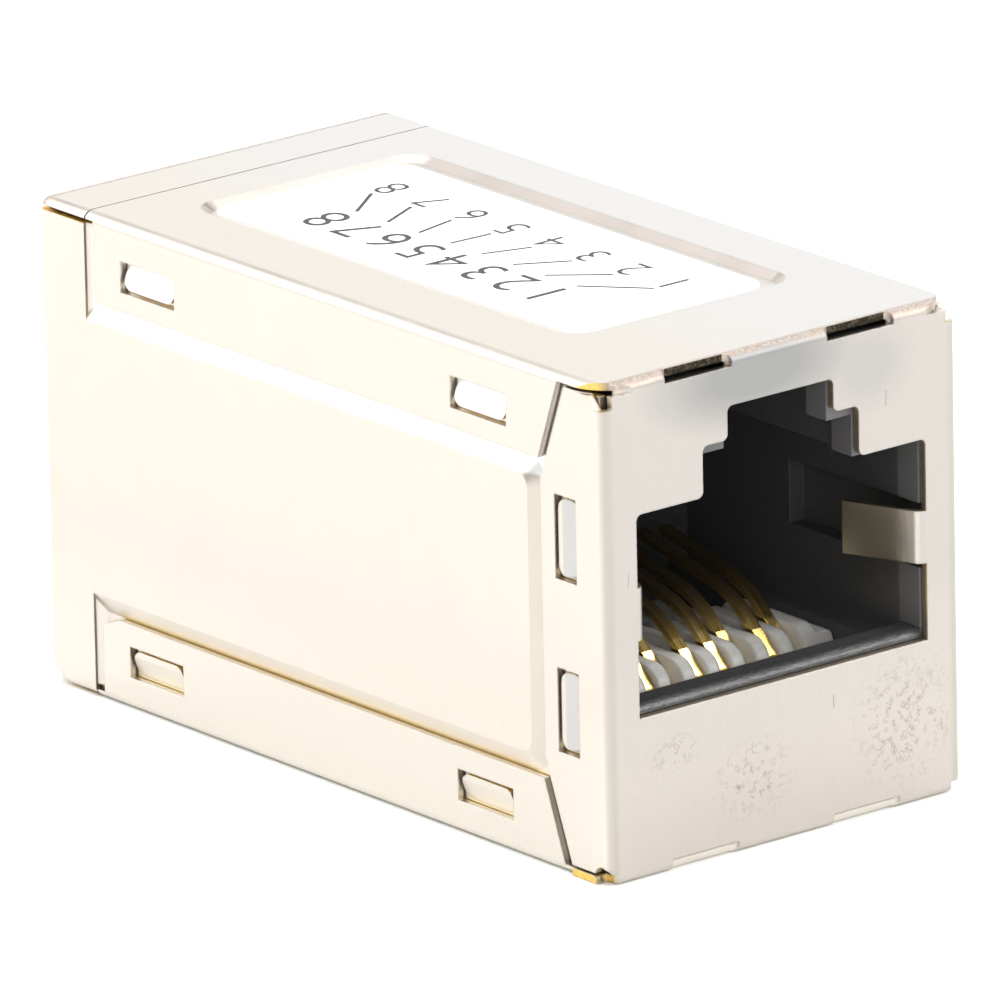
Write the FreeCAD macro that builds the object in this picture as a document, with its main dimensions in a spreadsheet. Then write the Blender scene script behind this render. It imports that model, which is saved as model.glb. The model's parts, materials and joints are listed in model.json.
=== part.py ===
"""Shielded RJ45 inline coupler: two folded shields, two jack housings, contacts, board and label.

Frame: X across the width, +Y from the front port to the rear port, +Z up, and the origin in the
middle of the underside.  The front port faces -Y and both latch slots are at the top.
"""
import FreeCAD, Part
import math
import os
import Sketcher

Vector = FreeCAD.Vector

# ---------------------------------------------------------------------------------------------
# Driving sizes, in millimetres and degrees.  Each one becomes a named cell of the sheet.
# ---------------------------------------------------------------------------------------------
SIZES = {
    # port cut-out: a plug's outline with a latch slot of two steps on top
    "port_width": 11.9, "port_height": 6.72, "port_floor": 5.34, "port_corner": 0.22,
    "latch_low_width": 6.43, "latch_low_height": 1.68,
    "latch_high_width": 4.36, "latch_high_height": 1.11,
    # what surrounds the port
    "roof_thickness": 1.65, "side_thickness": 1.35, "board_thickness": 1.6,
    # folded sheet
    "sheet": 0.25, "bend_radius": 0.35, "face_bend_radius": 0.3, "lap_gap": 0.03,
    "rear_cap_length": 2.39, "seam_gap": 0.06, "flap_setback": 0.4,
    "top_flap_depth": 3.0, "bottom_flap_depth": 2.9, "front_flap_length": 3.1,
    "mitre_inset": 1.84, "mitre_reach": 3.65, "mitre_gap": 0.36, "fold_line": 0.35,
    "flap_corner": 0.2, "flap_nose_run": 0.85, "flap_nose_drop": 0.3,
    "relief_width": 0.45, "relief_run": 0.7, "relief_foot": 0.26, "relief_drop": 0.8,
    "relief_hole_radius": 0.36, "top_plate_corner": 1.5, "bottom_plate_corner": 0.55,
    "bend_slot_length": 2.75, "bend_slot_station": 3.33, "bend_slot_depth": 0.28, "bend_slot_drop": 0.38,
    "slot_corner_flat": 0.03,
    # snap windows in the flaps and the lances that fill them
    "window_length": 2.8, "window_width": 1.06, "window_front_station": 6.15,
    "window_rear_inset": 2.8, "window_top_inset": 1.8, "window_bottom_inset": 1.62,
    "window_side_station": 1.89, "window_side_spacing": 5.74,
    "lance_rise": 0.21, "lance_gap": 0.11, "lance_root_rise": 0.02, "lance_end_flat": 0.04,
    # rear shield
    "joggle_run": 0.66, "joggle_root": 0.03, "joggle_foot_corner": 0.9, "joggle_top_corner": 0.5,
    "wall_edge_gap": 0.16, "wall_front_gap": 0.15, "foot_corner": 1.2,
    "foot_strip_inset": 0.7, "wall_foot_height": 0.13,
    # grounding springs folded in from both sides of each port
    "spring_height": 1.75, "spring_centre": 3.44, "spring_bend": 0.35, "spring_lean": 22.0,
    "spring_reach": 2.6,
    # pressed label recess and the label
    "label_length": 18.6, "label_width": 8.05, "label_corner": 0.7, "label_thickness": 0.1,
    "label_offset_y": 0.3, "label_left_gap": 0.1, "label_right_gap": 0.5, "label_end_gap": 0.12,
    "recess_depth": 0.22, "recess_slope": 58.0, "recess_corner": 1.0, "recess_back_margin": 0.15,
    # jack housing
    "housing_length": 13.25, "housing_gap": 0.05, "housing_corner": 0.3,
    "throat_depth": 1.0, "throat_inset": 0.07, "throat_shelf_drop": 0.28,
    "cavity_depth": 10.6,
    "latch_room_width": 6.7, "latch_room_depth": 6.9,
    "lip_height": 0.31, "lip_round": 0.28, "spring_groove_depth": 0.5, "spring_groove_length": 6.4,
    "spring_groove_margin": 0.2,
    "bay_width": 10.0, "bay_floor": 1.9,
    # contact tray
    "tray_gap": 0.05, "tray_start": 3.45, "tray_comb_length": 4.3, "tooth_sink": 0.03,
    "tooth_front_round": 0.85, "tooth_back_round": 0.45, "end_tooth_reach": 0.85,
    "shoulder_drop": 0.3, "tray_tail_height": 4.1,
    "contact_slot_gap": 0.06,
    # spring contacts
    "contact_pitch": 1.02, "contact_width": 0.4, "contact_thickness": 0.25,
    "contact_upper_row": 3.45, "contact_lower_row": 2.55, "contact_bend_upper": 0.5,
    "contact_bend_lower": 0.85, "contact_tip_level": 4.61, "contact_tip_deep": 4.36,
    "contact_tip_shallow": 3.77, "contact_rise": 43.0, "contact_rise_length": 1.45,
    "contact_crown": 3.6, "contact_lay": 12.0, "contact_end": 10.3, "contact_pin": 0.7,
    # how far a cutting outline runs past what it cuts
    "overrun": 1.0,
    # circuit board
    "board_side_gap": 0.35, "board_base_gap": 0.5, "board_top_gap": 0.5, "pin_hole_gap": 0.06,
}
CONTACT_COUNT = 8
DEEP_CONTACTS = (1, 3, 6, 8)      # these bend further from the mouth than the other four


# ---------------------------------------------------------------------------------------------
# Sizes that carry both a number and the sheet expression behind it
# ---------------------------------------------------------------------------------------------
class Size:
    """A length or an angle, with the spreadsheet expression that gives it."""

    def __init__(self, value, text):
        self.value = value
        self.text = text

    @staticmethod
    def of(other):
        return other if isinstance(other, Size) else Size(float(other), "(%r)" % float(other))

    def combine(self, other, sign, value):
        return Size(value, "(%s %s %s)" % (self.text, sign, Size.of(other).text))

    def __add__(self, other):
        return self.combine(other, "+", self.value + Size.of(other).value)

    def __sub__(self, other):
        return self.combine(other, "-", self.value - Size.of(other).value)

    def __mul__(self, other):
        return self.combine(other, "*", self.value * Size.of(other).value)

    def __truediv__(self, other):
        return self.combine(other, "/", self.value / Size.of(other).value)

    def __radd__(self, other):
        return Size.of(other) + self

    def __rsub__(self, other):
        return Size.of(other) - self

    def __rmul__(self, other):
        return Size.of(other) * self

    def __neg__(self):
        return Size.of(-1) * self


def sine(angle):
    return Size(math.sin(math.radians(angle.value)), "sin(%s * 1deg)" % angle.text)


def cosine(angle):
    return Size(math.cos(math.radians(angle.value)), "cos(%s * 1deg)" % angle.text)


doc = FreeCAD.newDocument("inline_coupler")
sheet_table = doc.addObject("Spreadsheet::Sheet", "Sizes")
for row, (size_name, number) in enumerate(SIZES.items(), start=1):
    sheet_table.set("A%d" % row, size_name.replace("_", " "))
    sheet_table.set("B%d" % row, str(number))
    sheet_table.setAlias("B%d" % row, size_name)
doc.recompute()


def size(name):
    return Size(SIZES[name], "Sizes.%s" % name)


# Sizes worked out from the driving ones, used by more than one piece
sheet = size("sheet")
body_width = size("port_width") + 2 * size("side_thickness")
latch_floor = size("port_floor") + size("port_height")
latch_shelf = latch_floor + size("latch_low_height")
latch_top = latch_shelf + size("latch_high_height")
body_height = latch_top + size("roof_thickness")
half_length = (size("board_thickness") / 2 + size("housing_length") + size("housing_gap") + sheet)
half_width = body_width / 2
face = -half_length                                   # Y of the front face
cap_length = size("rear_cap_length")
plate_end = half_length - cap_length - size("seam_gap")   # rear edge of the front shield's plates
flap_end = plate_end - size("flap_setback")
wall_outer = half_width - sheet - size("lap_gap")     # outer skin of the walls under the flaps
wall_inner = wall_outer - sheet
wall_low = sheet + size("wall_edge_gap")
wall_foot = size("wall_foot_height")                  # lowest edge of the walls at the rear
wall_high = body_height - sheet - size("wall_edge_gap")
top_flap_edge = body_height - size("top_flap_depth")
recess_floor = body_height - size("recess_depth")
label_half_width = size("label_width") / 2
label_half_length = size("label_length") / 2
housing_front = face + sheet + size("housing_gap")
port_middle = size("port_floor") + size("spring_centre")
beyond = size("overrun")


# ---------------------------------------------------------------------------------------------
# Small tools for sketches and features
# ---------------------------------------------------------------------------------------------
def bind(thing, field, length):
    """Let a property of an object follow the sheet."""
    thing.setExpression(field, Size.of(length).text)


def new_body(name):
    body = doc.addObject("PartDesign::Body", name)
    body.Label = name
    return body


def origin_plane(body, role):
    return next(item for item in body.Origin.OriginFeatures if item.Role == role)


def new_sketch(body, name, role, offset=0.0):
    """A sketch on an origin plane of its own body, moved along the plane's normal by offset.

    XY_Plane draws X and Y and looks up; XZ_Plane draws X and Z, and its normal is -Y;
    YZ_Plane draws Y and Z, and its normal is +X.
    """
    sketch = body.newObject("Sketcher::SketchObject", name)
    sketch.AttachmentSupport = [(origin_plane(body, role), "")]
    sketch.MapMode = "FlatFace"
    sketch.AttachmentOffset = FreeCAD.Placement(Vector(0, 0, Size.of(offset).value), FreeCAD.Rotation())
    bind(sketch, "AttachmentOffset.Base.z", offset)
    return sketch


def pin_point(sketch, geometry, end, point):
    """Hold one end of a line or arc (or a centre, end 3) at a point given by two sizes."""
    for kind, coordinate in (("DistanceX", point[0]), ("DistanceY", point[1])):
        coordinate = Size.of(coordinate)
        index = sketch.addConstraint(Sketcher.Constraint(kind, -1, 1, geometry, end, coordinate.value))
        sketch.setExpression("Constraints[%d]" % index, coordinate.text)


def set_size(sketch, constraint, length):
    index = sketch.addConstraint(constraint)
    sketch.setExpression("Constraints[%d]" % index, length.text)


def as_vector(point):
    return Vector(Size.of(point[0]).value, Size.of(point[1]).value, 0)


def draw_outline(sketch, points, radii=None):
    """Draw a closed outline of straight lines.

    radii gives a rounding radius for the corners named by their index; those corners stand
    between a level and an upright line.
    """
    radii = radii or {}
    count = len(points)
    corners = [as_vector(point) for point in points]

    def heading(index):
        step = corners[(index + 1) % count] - corners[index]
        return step.normalize()

    def along(index, direction, distance):
        return (points[index][0] + round(direction.x) * distance,
                points[index][1] + round(direction.y) * distance)

    first_line = sketch.GeometryCount
    for index in range(count):
        after = (index + 1) % count
        start, end = points[index], points[after]
        if index in radii:
            start = along(index, heading(index), radii[index])
        if after in radii:
            end = along(after, heading(index), -radii[after])
        line = sketch.addGeometry(Part.LineSegment(as_vector(start), as_vector(end)), False)
        pin_point(sketch, line, 1, start)
        if after in radii:
            pin_point(sketch, line, 2, end)
    for index in range(count):
        line, line_before = first_line + index, first_line + (index - 1) % count
        if index not in radii:
            sketch.addConstraint(Sketcher.Constraint("Coincident", line_before, 2, line, 1))
            continue
        inward, outward = heading((index - 1) % count), heading(index)
        radius = radii[index].value
        centre = corners[index] - inward * radius + outward * radius
        turns_left = inward.x * outward.y - inward.y * outward.x > 0
        opening = -outward if turns_left else inward
        start_angle = math.atan2(opening.y, opening.x)
        circle = Part.Circle(centre, Vector(0, 0, 1), radius)
        arc = sketch.addGeometry(Part.ArcOfCircle(circle, start_angle, start_angle + math.pi / 2), False)
        ends = (1, 2) if turns_left else (2, 1)
        sketch.addConstraint(Sketcher.Constraint("Coincident", line_before, 2, arc, ends[0]))
        sketch.addConstraint(Sketcher.Constraint("Coincident", arc, ends[1], line, 1))
        set_size(sketch, Sketcher.Constraint("Radius", arc, radius), radii[index])


def draw_line(sketch, start, end):
    """A line held at both of its ends."""
    line = sketch.addGeometry(Part.LineSegment(as_vector(start), as_vector(end)), False)
    pin_point(sketch, line, 1, start)
    pin_point(sketch, line, 2, end)
    return line


def draw_rectangle(sketch, left, right, low, high, corner=None):
    """A rectangle between two pairs of sizes, its corners rounded if corner is given."""
    left, right, low, high = (Size.of(edge) for edge in (left, right, low, high))
    points = [(left, low), (right, low), (right, high), (left, high)]
    draw_outline(sketch, points, {index: corner for index in range(4)} if corner else None)


def draw_circle(sketch, centre, radius):
    circle = Part.Circle(as_vector(centre), Vector(0, 0, 1), radius.value)
    geometry = sketch.addGeometry(circle, False)
    pin_point(sketch, geometry, 3, centre)
    set_size(sketch, Sketcher.Constraint("Radius", geometry, radius.value), radius)


def add_feature(body, kind, name, sketch, length, reverse, taper):
    before = body.Shape.Volume if body.Tip else 0.0
    feature = body.newObject("PartDesign::" + kind, name)
    feature.Profile = sketch
    feature.Reversed = reverse
    bind(feature, "Length", length)
    if taper is not None:
        bind(feature, "TaperAngle", taper)
    doc.recompute()
    if abs(feature.Shape.Volume - before) < 1e-6:
        raise RuntimeError("%s changes nothing" % name)
    return feature


def pad(body, name, sketch, length, reverse=False, taper=None):
    return add_feature(body, "Pad", name, sketch, length, reverse, taper)


def pocket(body, name, sketch, length, reverse=False, taper=None):
    return add_feature(body, "Pocket", name, sketch, length, reverse, taper)


def mirror_in_width(body, name, features):
    """Repeat features on the other side of the body's middle plane."""
    mirrored = body.newObject("PartDesign::Mirrored", name)
    mirrored.Originals = features
    mirrored.MirrorPlane = (origin_plane(body, "YZ_Plane"), [""])
    body.Tip = mirrored
    doc.recompute()
    return mirrored


def fillet(body, name, base, radius, wanted):
    """Round the edges of base for which wanted(edge) is true."""
    edges = ["Edge%d" % index for index, edge in enumerate(base.Shape.Edges, start=1) if wanted(edge)]
    if not edges:
        raise RuntimeError("%s finds no edge" % name)
    rounding = body.newObject("PartDesign::Fillet", name)
    rounding.Base = (base, edges)
    bind(rounding, "Radius", radius)
    doc.recompute()
    return rounding


def lies_at(edge, axis, position):
    """True for an edge that lies in the plane where the given coordinate is position."""
    return all(abs(vertex.Point[axis] - position.value) < 1e-4 for vertex in edge.Vertexes)


# ---------------------------------------------------------------------------------------------
# Forms that both shields share
# ---------------------------------------------------------------------------------------------
def draw_port(sketch, inset, floor, shelf_drop=0.0):
    """The stepped outline of a port, drawn in X and Z; shelf_drop lowers the step of its latch slot."""
    wide = size("port_width") / 2 - inset
    low = size("latch_low_width") / 2 - inset
    high = size("latch_high_width") / 2 - inset
    shelf, step, top = latch_floor - inset, latch_shelf - inset - shelf_drop, latch_top - inset
    right = [(wide, floor), (wide, shelf), (low, shelf), (low, step), (high, step), (high, top)]
    left = [(-x, z) for x, z in reversed(right)]
    corner = size("port_corner")
    rounded = range(1, 11)
    draw_outline(sketch, right + left, {index: corner for index in rounded} if inset == 0.0 else None)


def add_ground_springs(body, prefix, turned):
    """Leaf springs folded in from both sides of a port, leaning towards its middle."""
    sketch = new_sketch(body, prefix + "SpringProfile", "XY_Plane", port_middle - size("spring_height") / 2)
    if turned:
        sketch.AttachmentOffset = FreeCAD.Placement(sketch.AttachmentOffset.Base,
                                                    FreeCAD.Rotation(Vector(0, 0, 1), 180))
        bind(sketch, "AttachmentOffset.Base.z", port_middle - size("spring_height") / 2)
    bend, lean = size("spring_bend"), size("spring_lean")
    root = size("port_width") / 2
    centre = (root, face + bend)
    start_angle = math.pi + math.radians(lean.value)

    def leaf_point(radius, distance):
        """A point of the leaf, measured from the end of its bend along its lean."""
        return (root - radius * cosine(lean) - distance * sine(lean),
                face + bend - radius * sine(lean) + distance * cosine(lean))

    inner_radius = bend - sheet
    reach = size("spring_reach")
    corners = [leaf_point(bend, 0), leaf_point(bend, reach), leaf_point(inner_radius, reach),
               leaf_point(inner_radius, 0)]
    sides = list(zip(corners, corners[1:])) + [((root, face + sheet), (root, face))]
    lines = [draw_line(sketch, start, end) for start, end in sides]
    # each bend runs from the leaf to the edge of the port
    for radius, leaf, leaf_end, root_end in ((bend, lines[0], 1, 2), (inner_radius, lines[2], 2, 1)):
        circle = Part.Circle(as_vector(centre), Vector(0, 0, 1), radius.value)
        arc = sketch.addGeometry(Part.ArcOfCircle(circle, start_angle, 1.5 * math.pi), False)
        sketch.addConstraint(Sketcher.Constraint("Coincident", arc, 1, leaf, leaf_end))
        sketch.addConstraint(Sketcher.Constraint("Coincident", arc, 2, lines[3], root_end))
        set_size(sketch, Sketcher.Constraint("Radius", arc, radius.value), radius)
    return pad(body, prefix + "Spring", sketch, size("spring_height"))


# ---------------------------------------------------------------------------------------------
# Front shield: front face, top and bottom plates, and the flaps folded over the side walls
# ---------------------------------------------------------------------------------------------
window_top = body_height - size("window_top_inset")
window_bottom = size("window_bottom_inset")
window_front = face + size("window_front_station")
window_rear = flap_end - size("window_rear_inset")
window_side = face + size("window_side_station")
window_heights = [body_height / 2 + turn * size("window_side_spacing") / 2 for turn in (1, -1)]


def window_centres():
    """Centres of the snap windows in Y and Z, each with True where the window stands upright."""
    lying = [(y, z, False) for z in (window_top, window_bottom) for y in (window_front, window_rear)]
    return lying + [(window_side, z, True) for z in window_heights]


def draw_side_outline(sketch):
    """What is cut away from the side: the bay between the flaps, the mitres and the corner slits."""
    slope = ((size("front_flap_length") - size("mitre_inset"))
             / (size("mitre_reach") - size("fold_line")))
    mitre = face + size("mitre_inset")
    mitre_back = mitre + size("mitre_gap")
    flap_front = face + size("front_flap_length")
    plate_low, plate_high = sheet, body_height - sheet
    slit_high, slit_low = body_height - size("fold_line"), size("fold_line")
    relief = body_height - size("relief_drop")
    corner = size("flap_corner")
    top_front = mitre_back + slope * (size("top_flap_depth") - size("fold_line"))
    bottom_front = mitre_back + slope * (size("bottom_flap_depth") - size("fold_line"))
    draw_outline(sketch, [
        (plate_end + beyond, plate_high),
        (flap_end, plate_high),
        (flap_end, top_flap_edge + corner),
        (flap_end - corner, top_flap_edge),
        (top_front, top_flap_edge),
        (mitre_back, plate_high),
        (face - beyond, plate_high),
        (face - beyond, relief),
        (face + size("relief_foot"), relief),
        (face + size("relief_run"), slit_high),
        (mitre, slit_high),
        (flap_front, body_height - size("mitre_reach")),
        (flap_front, size("mitre_reach")),
        (mitre, slit_low),
        (face - beyond, slit_low),
        (face - beyond, plate_low),
        (mitre_back, plate_low),
        (bottom_front, size("bottom_flap_depth")),
        (flap_end - size("flap_nose_run"), size("bottom_flap_depth")),
        (flap_end, size("bottom_flap_depth") - size("flap_nose_drop")),
        (flap_end, plate_low),
        (plate_end + beyond, plate_low),
    ])


def draw_corner_cut(sketch, edge, end, outwards, radius):
    """What rounding the corner (edge, end) of a plate takes away, drawn on the plate.

    outwards holds the signs that lead away from the plate along the two axes.
    """
    side, past_end = outwards
    margin = radius + beyond
    draw_outline(sketch, [
        (edge + side * beyond, end + past_end * beyond), (edge + side * beyond, end - past_end * margin),
        (edge, end - past_end * margin), (edge, end),
        (edge - side * margin, end), (edge - side * margin, end + past_end * beyond)], {3: radius})


def draw_plate_front(sketch, corner):
    """Slots across the front bend of a plate, and its rounded front corners, drawn in X and Y."""
    half_slot = size("bend_slot_length") / 2
    depth = size("bend_slot_depth")
    slot_corner = depth - size("slot_corner_flat")
    for turn in (1, -1):
        middle = turn * size("bend_slot_station")
        draw_outline(sketch, [(middle - half_slot, face - beyond), (middle + half_slot, face - beyond),
                              (middle + half_slot, face + depth), (middle - half_slot, face + depth)],
                     {2: slot_corner, 3: slot_corner})
        draw_corner_cut(sketch, turn * half_width, face, (turn, -1), corner)


def build_front_shield():
    body = new_body("front_shield")
    length = plate_end - face

    section = new_sketch(body, "FrontSection", "XZ_Plane", -plate_end)
    draw_rectangle(section, -half_width, half_width, 0, body_height, size("bend_radius"))
    block = pad(body, "FrontBlock", section, length)
    fillet(body, "FrontRim", block, size("face_bend_radius"), lambda edge: lies_at(edge, 1, face))

    hollow = new_sketch(body, "FrontHollowSection", "XZ_Plane", -plate_end)
    draw_rectangle(hollow, sheet - half_width, half_width - sheet, sheet, body_height - sheet,
                   size("bend_radius") - sheet)
    pocket(body, "FrontHollow", hollow, length - sheet, reverse=True)

    # the label recess is pressed in: its underside stands out below the plate
    slope = size("recess_slope")
    slope_run = size("recess_depth") * sine(slope) / cosine(slope)
    left = -label_half_width - size("label_left_gap") - slope_run
    right = label_half_width + size("label_right_gap") + slope_run
    front, rear = (size("label_offset_y") + turn * (label_half_length + size("label_end_gap") + slope_run)
                   for turn in (-1, 1))
    margin = size("recess_back_margin")
    back = new_sketch(body, "RecessBackOutline", "XY_Plane", body_height - sheet)
    draw_rectangle(back, left - margin, right + margin, front - margin, rear + margin,
                   size("recess_corner") + margin)
    pad(body, "RecessBack", back, size("recess_depth"), reverse=True, taper=-slope)
    recess = new_sketch(body, "RecessOutline", "XY_Plane", body_height)
    draw_rectangle(recess, left, right, front, rear, size("recess_corner"))
    pocket(body, "Recess", recess, size("recess_depth"), taper=-slope)

    port = new_sketch(body, "FrontPort", "XZ_Plane", -face)
    draw_port(port, 0.0, size("port_floor"))
    pocket(body, "FrontPortCut", port, 2 * sheet)

    # ahead of its flaps the bottom plate keeps its square cut edge
    edge_strip = new_sketch(body, "BottomEdgeStrip", "XY_Plane", 0)
    draw_rectangle(edge_strip, -half_width, half_width, face + size("face_bend_radius"),
                   face + size("mitre_inset"))
    pad(body, "BottomEdge", edge_strip, sheet)
    top_front = new_sketch(body, "TopPlateFront", "XY_Plane", body_height)
    draw_plate_front(top_front, size("top_plate_corner"))
    pocket(body, "TopPlateFrontCut", top_front, size("bend_slot_drop"))
    bottom_front = new_sketch(body, "BottomPlateFront", "XY_Plane", 0)
    draw_plate_front(bottom_front, size("bottom_plate_corner"))
    pocket(body, "BottomPlateFrontCut", bottom_front, size("bend_slot_drop"), reverse=True)

    sides = new_sketch(body, "SideOutline", "YZ_Plane", half_width)
    draw_side_outline(sides)
    side_cut = pocket(body, "SideCut", sides, size("relief_width"))
    windows = new_sketch(body, "SnapWindows", "YZ_Plane", half_width)
    for y, z, upright in window_centres():
        along, across = size("window_length") / 2, size("window_width") / 2
        half_y, half_z = (across, along) if upright else (along, across)
        draw_rectangle(windows, y - half_y, y + half_y, z - half_z, z + half_z)
    relief_radius = size("relief_hole_radius")
    draw_circle(windows, (face + relief_radius, sheet), relief_radius)
    window_cut = pocket(body, "SnapWindowCut", windows, size("relief_width"))
    spring = add_ground_springs(body, "Front", turned=False)
    mirror_in_width(body, "FrontBothSides", [side_cut, window_cut, spring])
    return body


# ---------------------------------------------------------------------------------------------
# Rear shield: rear face with its strips, and the two long side walls under the front shield
# ---------------------------------------------------------------------------------------------
def draw_raised_panel(sketch, margin, corner):
    """The raised part of a side wall: its rear end and the panel between the flaps.

    margin is the distance from the edge of the flaps, which grows with the rise of the joggle.
    corner rounds the two front corners of the panel.
    """
    panel_low = size("bottom_flap_depth") + margin
    panel_high = top_flap_edge - margin
    panel_front = face + size("front_flap_length") + margin
    strip_front = flap_end + margin
    rear = plate_end + 2 * size("joggle_run")
    draw_outline(sketch, [
        (rear, wall_low), (strip_front, wall_low), (strip_front, panel_low), (panel_front, panel_low),
        (panel_front, panel_high), (strip_front, panel_high), (strip_front, wall_high),
        (rear, wall_high)], {3: corner, 4: corner})


def add_joggled_loft(body, kind, name, inner, outer):
    """A loft between the foot of the joggle at X = inner and its top at X = outer."""
    foot = new_sketch(body, name + "Foot", "YZ_Plane", inner)
    draw_raised_panel(foot, size("joggle_root"), size("joggle_foot_corner"))
    top = new_sketch(body, name + "Top", "YZ_Plane", outer)
    draw_raised_panel(top, size("joggle_run"), size("joggle_top_corner"))
    loft = body.newObject("PartDesign::" + kind, name)
    loft.Profile = foot
    loft.Sections = [top]
    loft.Ruled = True
    doc.recompute()
    return loft


def build_rear_shield():
    body = new_body("rear_shield")
    rear = half_length

    section = new_sketch(body, "RearSection", "XZ_Plane", -rear)
    draw_rectangle(section, -half_width, half_width, 0, body_height, size("bend_radius"))
    block = pad(body, "RearBlock", section, cap_length)
    fillet(body, "RearRim", block, size("face_bend_radius"), lambda edge: lies_at(edge, 1, rear))
    hollow = new_sketch(body, "RearHollowSection", "XZ_Plane", cap_length - rear)
    draw_rectangle(hollow, sheet - half_width, half_width - sheet, sheet, body_height - sheet,
                   size("bend_radius") - sheet)
    pocket(body, "RearHollow", hollow, cap_length - sheet)
    port = new_sketch(body, "RearPort", "XZ_Plane", -rear)
    draw_port(port, 0.0, size("port_floor"))
    pocket(body, "RearPortCut", port, 2 * sheet, reverse=True)

    # side walls: a flat plate on the inner level, with the raised panel pressed out of it
    wall = new_sketch(body, "WallOutline", "YZ_Plane", wall_inner)
    wall_front = face + sheet + size("wall_front_gap")
    draw_rectangle(wall, wall_front, flap_end + size("joggle_run"), wall_low, wall_high)
    features = [pad(body, "Wall", wall, sheet)]
    features.append(add_joggled_loft(body, "AdditiveLoft", "RaisedPanel", wall_outer, half_width))
    features.append(add_joggled_loft(body, "SubtractiveLoft", "PanelHollow",
                                     wall_inner, half_width - sheet))

    # lances: rounded bosses in the windows, cut to a ramp that rises to the flap's free edge
    lances = new_sketch(body, "LanceOutlines", "YZ_Plane", wall_outer)
    gap = size("lance_gap")
    half_long = size("window_length") / 2 - gap
    half_short = size("window_width") / 2 - gap
    for y, z, upright in window_centres():
        half_y, half_z = (half_short, half_long) if upright else (half_long, half_short)
        draw_rectangle(lances, y - half_y, y + half_y, z - half_z, z + half_z,
                       half_short - size("lance_end_flat"))
    features.append(pad(body, "Lances", lances, size("lance_rise")))
    sunk, proud, past = (wall_outer + size("lance_root_rise"), wall_outer + size("lance_rise"),
                         half_width + sheet)
    window_length = size("window_length")
    ramps = new_sketch(body, "LyingRamps", "XZ_Plane", window_length - window_front)
    for z, side in ((window_top, 1), (window_bottom, -1)):
        root_edge, free_edge = z + side * half_short, z - side * half_short / 2
        draw_outline(ramps, [(sunk, root_edge), (past, root_edge), (past, free_edge), (proud, free_edge)])
    features.append(pocket(body, "LyingRampCut", ramps, window_rear - window_front + 2 * window_length))
    upright_ramps = new_sketch(body, "UprightRamps", "XY_Plane", window_heights[0] + window_length)
    root_edge, free_edge = window_side - half_short, window_side + half_short / 2
    draw_outline(upright_ramps, [(sunk, root_edge), (past, root_edge), (past, free_edge),
                                 (proud, free_edge)])
    features.append(pocket(body, "UprightRampCut", upright_ramps,
                           size("window_side_spacing") + 2 * window_length))

    # the walls stand free of the top strip, and the bottom strip is narrower than the walls
    slit = new_sketch(body, "WallSlit", "YZ_Plane", half_width)
    draw_rectangle(slit, rear - cap_length - beyond, rear + beyond, wall_high, body_height - sheet)
    features.append(pocket(body, "WallSlitCut", slit, size("relief_width")))
    foot = new_sketch(body, "FootOutline", "XY_Plane", 0)
    foot_edge = half_width - size("foot_strip_inset")
    draw_rectangle(foot, foot_edge, half_width + beyond, rear - cap_length - beyond, rear + beyond)
    features.append(pocket(body, "FootCut", foot, wall_foot, reverse=True))
    slot = new_sketch(body, "FootSlot", "XY_Plane", 0)
    draw_rectangle(slot, foot_edge, half_width - sheet, rear - cap_length - beyond, rear - sheet)
    features.append(pocket(body, "FootSlotCut", slot, wall_low, reverse=True))
    corner = new_sketch(body, "FootCorner", "YZ_Plane", half_width)
    draw_corner_cut(corner, rear, wall_foot, (1, -1), size("foot_corner"))
    features.append(pocket(body, "FootCornerCut", corner, size("foot_strip_inset")))
    features.append(add_ground_springs(body, "Rear", turned=True))
    mirror_in_width(body, "RearBothSides", features)
    return body


# ---------------------------------------------------------------------------------------------
# Inside: jack housings, contact trays, spring contacts, circuit board; and the label
# ---------------------------------------------------------------------------------------------
housing_half = wall_inner - size("housing_gap")
housing_low = sheet + size("housing_gap")
housing_high = recess_floor - sheet - size("housing_gap")
throat_end = housing_front + size("throat_depth")
bay_half = size("bay_width") / 2
tray_front = face + size("tray_start")
tooth_top = size("port_floor") - size("tooth_sink")
board_half = size("board_thickness") / 2


def place(body, turned, across=0.0):
    """Leave a piece at the front port, or turn it half round to the rear port."""
    across = Size.of(across)
    turn = FreeCAD.Rotation(Vector(0, 0, 1), 180 if turned else 0)
    body.Placement = FreeCAD.Placement(Vector(across.value, 0, 0), turn)
    bind(body, "Placement.Base.x", across)


def contact_station(number):
    """How far across a contact stands; contact 1 is at +X in the front port."""
    return (CONTACT_COUNT + 1 - 2 * number) * size("contact_pitch") / 2


def contact_row(number):
    """Height of a contact's straight run: odd ones use the upper row of the board."""
    return size("contact_upper_row") if number % 2 else size("contact_lower_row")


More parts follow.
